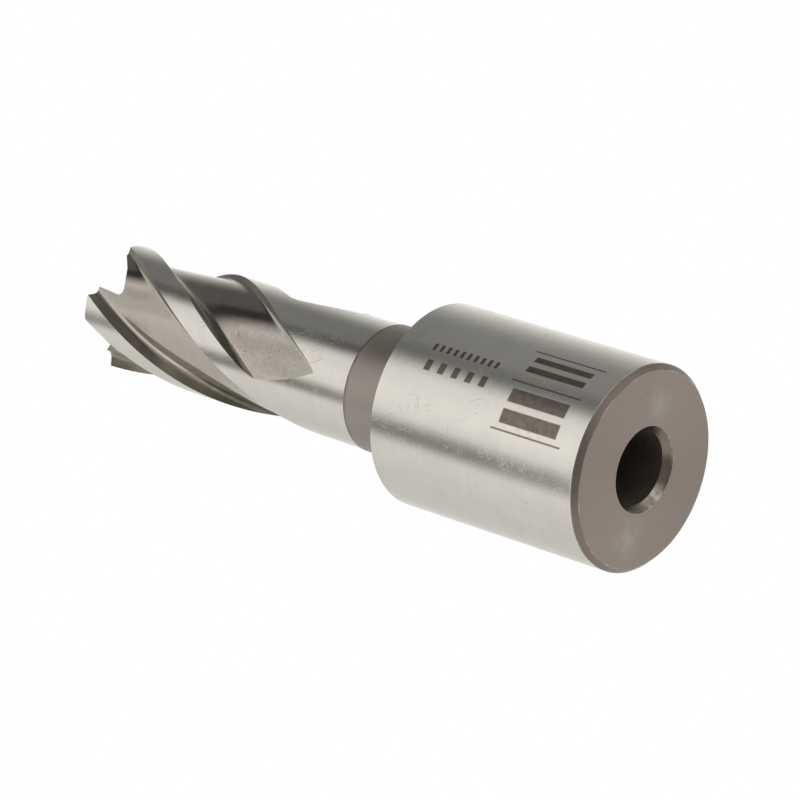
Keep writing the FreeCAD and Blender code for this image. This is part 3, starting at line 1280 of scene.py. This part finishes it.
@dataclass(frozen=True)
class MilledFlute(Finish):
    """The milled flute: painted shade on and beside its leading wall, and pits where the floor climbs out.

    Args:
        flutes: the flutes that the finish follows.
        pits_end: the height in millimetres above which there are no pits.
        run_out_end: the height up to which the painted shade by the wall is wider and streaked.
        wall_shade_width: degrees that the wall's painted shade reaches onto the floor.
        run_out_shade_spread: degrees that the painted shade reaches further low down, near the run-out.
        shade_streak_pitch: millimetres from one streak of that painted shade to the next.
        shade_streak_length: millimetres that such a streak stays the same.
        pit_tone: colour of the pits.
        cloud_tone: colour of the floor's lighter blotches.
        vein_tone: colour of its bright veins.
        wall_shade_tone: colour of the painted shade on the leading wall.
        run_out_shade_tone: colour of the streaked painted shade near the run-out.
        heel_tone: colour of the trailing wall.
        before: degrees before the leading edge that still count with its flute.
    """

    flutes: Flutes = field(default_factory=lambda: Cutter().flutes())
    pits_end: float = 47.0
    run_out_end: float = 51.0
    wall_shade_width: float = 1.0
    run_out_shade_spread: float = 3.5
    shade_streak_pitch: float = 0.12
    shade_streak_length: float = 1.4
    pit_tone: Tone = (0.12, 0.10, 0.09)
    cloud_tone: Tone = (0.405, 0.40, 0.345)
    vein_tone: Tone = (0.58, 0.545, 0.51)
    wall_shade_tone: Tone = (0.205, 0.183, 0.15)
    run_out_shade_tone: Tone = (0.10, 0.094, 0.074)
    heel_tone: Tone = (0.21, 0.20, 0.175)
    before: float = 10.0

    def dress(self, look: Look) -> None:
        """Finish the floor and the two walls."""
        self.dress_floor(look)
        self.dress_walls(look)

    def dress_floor(self, look: Look) -> None:
        """Give the floor its pits, blotches and veins.

        Args:
            look: what changes.
        """
        spot = look.spot
        low_down = 1 - spot.above(spot.z, self.pits_end, softness=4.0)
        dots = Blotches(0.2, 0.67, 0.05, seed=5.0, detail=1.0, rough=0.5).on(spot)
        pits = dots * Blotches(1.6, 0.52, 0.1, seed=2.0).on(spot) * low_down
        look.mark(pits, self.pit_tone, share=0.7, dulled=0.0, depth=0.006)
        look.tint(Blotches(1.5, 0.52, 0.2, seed=3.0).on(spot), self.cloud_tone, share=0.8)
        veins = spot.inside(spot.clouds(1.2, seed=29.0), low=0.5, high=0.525, softness=0.02)
        look.tint(veins * low_down, self.vein_tone, share=0.35)

    def dress_walls(self, look: Look) -> None:
        """Paint shade on the leading wall and beside it, wider and streaked near the run-out, and dull the
        trailing wall.

        Args:
            look: what changes.
        """
        spot = look.spot
        run_out = 1 - spot.above(spot.z, self.run_out_end, softness=7.0)
        from_wall = self.place(spot, -self.flutes.rake_lean)
        wall = 1 - spot.above(from_wall - run_out * self.run_out_shade_spread, self.wall_shade_width, softness=1.6)
        lines = (spot.radius / self.shade_streak_pitch, spot.z / self.shade_streak_length, 0.0)
        shade_streaks = spot.above(spot.noise(lines, detail=2.0, rough=0.6, seed=13.0), limit=0.45, softness=0.2)
        # Painted shade on the leading wall and a little of the floor beside it.
        look.tint(wall * (0.7 + 0.5 * spot.clouds(0.9, seed=6.0)), self.wall_shade_tone)
        # More painted shade, streaked, reaching further onto the floor near the run-out.
        look.tint(wall * (0.35 + 0.65 * shade_streaks) * run_out, self.run_out_shade_tone, share=0.8)
        from_heel = self.place(spot, self.flutes.heel_lean) - self.flutes.heel_angle
        heel = spot.above(from_heel, limit=-0.6, softness=0.8)
        look.tint(heel, self.heel_tone)
        look.roughness += spot.inside(from_wall, low=0.5, high=5.0, softness=1.5) * 0.12
        look.roughness += heel * 0.35

    def place(self, spot: Spot, lean: float) -> Formula:
        """Return how many degrees past the leading edge a point stands.

        Args:
            spot: the point.
            lean: degrees that the wall which is to read as one edge leans back.

        Returns:
            The place, from a little before one leading edge to as much before the next.
        """
        flutes = self.flutes
        inward = (flutes.body_radius / MM - spot.radius) * math.tan(lean * DEGREE)
        turned = spot.angle - flutes.first - (spot.z - flutes.tip / MM) * (360 / HELIX_LEAD)
        past = turned + inward.apply("ARCTAN2", spot.radius) / DEGREE
        return (past + self.before).apply("FLOORED_MODULO", flutes.step) - self.before


def all_finishes() -> dict[str, Material]:
    """Make every finish of the cutter.

    Returns:
        The materials by name.
    """
    steel = (0.62, 0.602, 0.566)
    ground = {
        "pitch": 0.22, "streaks": 0.06, "clouds": 0.06, "stretch": 0.2, "waves": 0.004, "flecks": 0.0022,
    }
    finishes = (
        MarkedShank("ground_shank", steel, 0.20, scuffs=0.5, worn=((50.0, 22.4, 2.4),), **ground),
        Finish(
            "ground_body", steel, 0.18, scuffs=0.25,
            worn=((38.0, 36.8, 1.2), (40.0, 33.4, 1.0), (-7.5, 33.9, 0.8)), **ground,
        ),
        PaintedLightRing(
            "turned_neck", (0.318, 0.291, 0.264), 0.5, streaks=0.06, clouds=0.16, stretch=0.5,
            # The neck's dark edge line is a painted shadow at the step onto the body.
            rims=((30.18, 30.5),), edge_line_share=0.8, edge_line_gaps=0.6, edge_line_tone=(0.10, 0.09, 0.08),
        ),
        PaintedLightRing(
            "faced_end", (0.252, 0.219, 0.193), 0.5, Grain.RINGS,
            pitch=0.25, relief=0.0006, streaks=0.05, clouds=0.05, stretch=0.6,
            # The light lines along the face's two edges and its two lighter patches are painted highlights;
            # the specks are its own.
            rims=((8.98, 9.1), (3.9, 4.02)), rubbed=((-0.3, 6.0, 1.9), (0.6, -6.3, 2.6)), specks=0.7,
        ),
        PaintedLightRing(
            "chamfer", (0.176, 0.153, 0.134), 0.4, Grain.RINGS, pitch=0.2, streaks=0.15, clouds=0.15,
            # The chamfer's light edge lines are painted highlights.
            rims=((8.95, 9.06), (9.47, 9.6)),
        ),
        PaintedLightRing(
            "bore_chamfer", (0.165, 0.142, 0.118), 0.25, Grain.RINGS,
            pitch=0.16, relief=0.008, streaks=0.6, stretch=0.4,
            # The bore chamfer's light edge line and its bright patch are painted highlights.
            rims=((3.88, 4.1),), edge_line_share=0.2, rubbed=((-2.75, -2.9, 2.0),), painted_highlight_tone=(0.66, 0.62, 0.56),
        ),
        Finish("bore_wall", (0.30, 0.26, 0.22), 0.5),
        MilledFlute(
            "flute", (0.425, 0.38, 0.35), 0.12, Grain.FLUTE,
            pitch=0.5, streaks=0.1, cloud_size=1.4, waves=0.005,
        ),
        Finish("gullet", (0.24, 0.235, 0.21), 0.35, Grain.FLUTE),
        Finish("drive_flat", steel, 0.3),
        Finish("tooth_end", (0.45, 0.44, 0.41), 0.3, Grain.RINGS),
    )
    return {finish.name: finish.material() for finish in finishes}


@dataclass(frozen=True)
class Card:
    """A soft-edged patch of the studio that is brighter or darker than the rest.

    Args:
        first: degrees round the axis where its full strength begins.
        last: degrees where its full strength ends.
        rise: degrees over which it fades in before that.
        fall: degrees over which it fades out after that.
        strength: what it adds to the light, negative for a dark card.
        low: heights in degrees where it is still absent and where it is full.
        high: heights in degrees where it is still full and where it has gone.
        lean: degrees that its upper part is turned further round the axis.
        leaning: heights in degrees between which it turns so.
    """

    first: float
    last: float
    rise: float
    fall: float
    strength: float
    low: Span = (-101.0, -100.0)
    high: Span = (100.0, 101.0)
    lean: float = 0.0
    leaning: Span = (41.0, 49.0)

    def glow(self, sheet: Sheet, azimuth: Formula, height: Formula) -> Formula:
        """Return what the card adds in a direction.

        Args:
            sheet: the world's node tree.
            azimuth: the direction's degrees round the axis.
            height: its degrees above the horizon.

        Returns:
            The light that it adds.
        """
        middle = (self.first + self.last) / 2 + sheet.step(height, *self.leaning) * self.lean
        half = (self.last - self.first) / 2
        away = (azimuth - middle).apply("WRAP", 180.0, -180.0)
        level = sheet.step(away, -half - self.rise, -half) * sheet.step(away, half + self.fall, half)
        return level * sheet.step(height, *self.low) * sheet.step(height, *self.high[::-1]) * self.strength


@dataclass
class Studio:
    """The plain studio: white to the camera, soft light and dark cards to the steel."""

    level: float = 1.12
    least: float = 0.04
    light_tone: Tone = (1.0, 0.975, 0.94)
    shade_tone: Tone = (0.987, 1.0, 0.955)
    cards: tuple[Card, ...] = (
        # The broad dark band along the upper side, with its darker edge and upper parts.
        Card(57.0, 107.0, 26.0, 76.0, -0.80, low=(-30.0, 0.0), lean=13.5),
        Card(57.0, 64.0, 14.0, 10.0, -0.11, low=(-24.0, 6.0), lean=12.0),
        Card(60.0, 110.0, 20.0, 40.0, -0.12, low=(38.0, 43.0)),
        Card(60.0, 110.0, 20.0, 40.0, -0.03, low=(43.0, 46.0)),
        # The thin dark line along the lower side, and the shade under it.
        Card(-33.0, -29.0, 15.0, 19.0, -0.90, low=(24.0, 35.0), high=(43.5, 45.5)),
        Card(-131.0, -130.0, 60.0, 150.0, -0.32, low=(10.0, 34.0)),
        # Dark and light that only the flutes and the neck mirror.
        Card(-34.0, 22.0, 26.0, 40.0, -0.72, high=(-12.0, 6.0)),
        Card(-36.0, -10.0, 20.0, 20.0, 0.7, low=(-1.0, 7.0), high=(15.0, 24.0)),
        Card(-95.0, -65.0, 20.0, 20.0, -0.45, low=(5.0, 12.0), high=(22.0, 28.0)),
        # The bright side, duller on the shank.
        Card(2.0, 30.0, 14.0, 20.0, -0.30, low=(43.0, 45.5)),
        Card(1.0, 14.0, 8.0, 12.0, 0.08),
    )
    floor_drop: float = 0.05 * MM
    floor_size: float = 2.0
    floor_tone: Tone = (0.9, 0.9, 0.9)
    lens: float = 197.578
    sensor_width: float = 36.0
    clips: Span = (0.01, 10.0)
    camera_place: tuple[float, float, float] = (308.1947, 60.8100, -223.5418)
    camera_right: tuple[float, float, float] = (-0.644275, 0.181137, -0.743034)
    camera_up: tuple[float, float, float] = (0.0, 0.971548, 0.236844)

    def world(self) -> None:
        """Light the scene from all round."""
        world = bpy.data.worlds.new("studio")
        world.use_nodes = True
        bpy.context.scene.world = world
        sheet = Sheet(world.node_tree)
        world.node_tree.nodes.clear()
        x, y, z = sheet.parts(sheet.add("ShaderNodeTexCoord").outputs["Object"])
        azimuth = y.apply("ARCTAN2", x) / DEGREE
        height = z.apply("ARCSINE") / DEGREE
        level = self.level + sum(card.glow(sheet, azimuth, height) for card in self.cards)
        level = level.apply("MAXIMUM", self.least)
        tone = sheet.mix(level / self.level, (*self.shade_tone, 1), self.light_tone)
        light = sheet.add("ShaderNodeBackground", {"Color": tone, "Strength": level}).outputs[0]
        white = sheet.add("ShaderNodeBackground", {"Color": (1, 1, 1, 1), "Strength": 1.0}).outputs[0]
        seen = sheet.add("ShaderNodeLightPath").outputs["Is Camera Ray"]
        mixed = sheet.add("ShaderNodeMixShader", {0: seen, 1: light, 2: white}).outputs[0]
        sheet.add("ShaderNodeOutputWorld", {"Surface": mixed})

    def floor(self) -> None:
        """Lay a pale floor that only a camera above it sees."""
        half = self.floor_size / 2
        made = bmesh.new()
        corners = ((-half, -half), (half, -half), (half, half), (-half, half))
        made.faces.new([made.verts.new((x, y, -self.floor_drop)) for x, y in corners])
        material = bpy.data.materials.new("studio_floor")
        material.use_nodes = True
        sheet = Sheet(material.node_tree)
        material.node_tree.nodes.clear()
        pale = sheet.add("ShaderNodeEmission", {"Color": (*self.floor_tone, 1), "Strength": 1.0}).outputs[0]
        through = sheet.add("ShaderNodeBsdfTransparent").outputs[0]
        below = sheet.add("ShaderNodeNewGeometry").outputs["Backfacing"]
        mixed = sheet.add("ShaderNodeMixShader", {0: below, 1: pale, 2: through}).outputs[0]
        sheet.add("ShaderNodeOutputMaterial", {"Surface": mixed})
        floor = finished_mesh(made, "studio_floor", [material])
        floor.visible_diffuse = False
        floor.visible_glossy = False
        floor.visible_transmission = False
        floor.visible_shadow = False

    def camera(self) -> None:
        """Stand the camera where the photograph was taken from."""
        data = bpy.data.cameras.new("photo_camera")
        data.lens = self.lens
        data.sensor_width = self.sensor_width
        data.clip_start, data.clip_end = self.clips
        camera = bpy.data.objects.new("photo_camera", data)
        right, up = Vector(self.camera_right), Vector(self.camera_up)
        turned = Matrix((right, up, right.cross(up))).transposed().to_4x4()
        camera.matrix_world = Matrix.Translation(Vector(self.camera_place) * MM) @ turned
        bpy.context.scene.collection.objects.link(camera)
        bpy.context.scene.camera = camera
        bpy.context.scene.view_settings.view_transform = "Standard"


def main() -> None:
    """Build the cutter, its light and its camera."""
    logging.basicConfig(level=logging.INFO, format="%(name)s: %(message)s")
    studio = Studio()
    studio.world()
    studio.floor()
    studio.camera()
    Cutter().build(all_finishes())


if __name__ == "__main__":
    main()
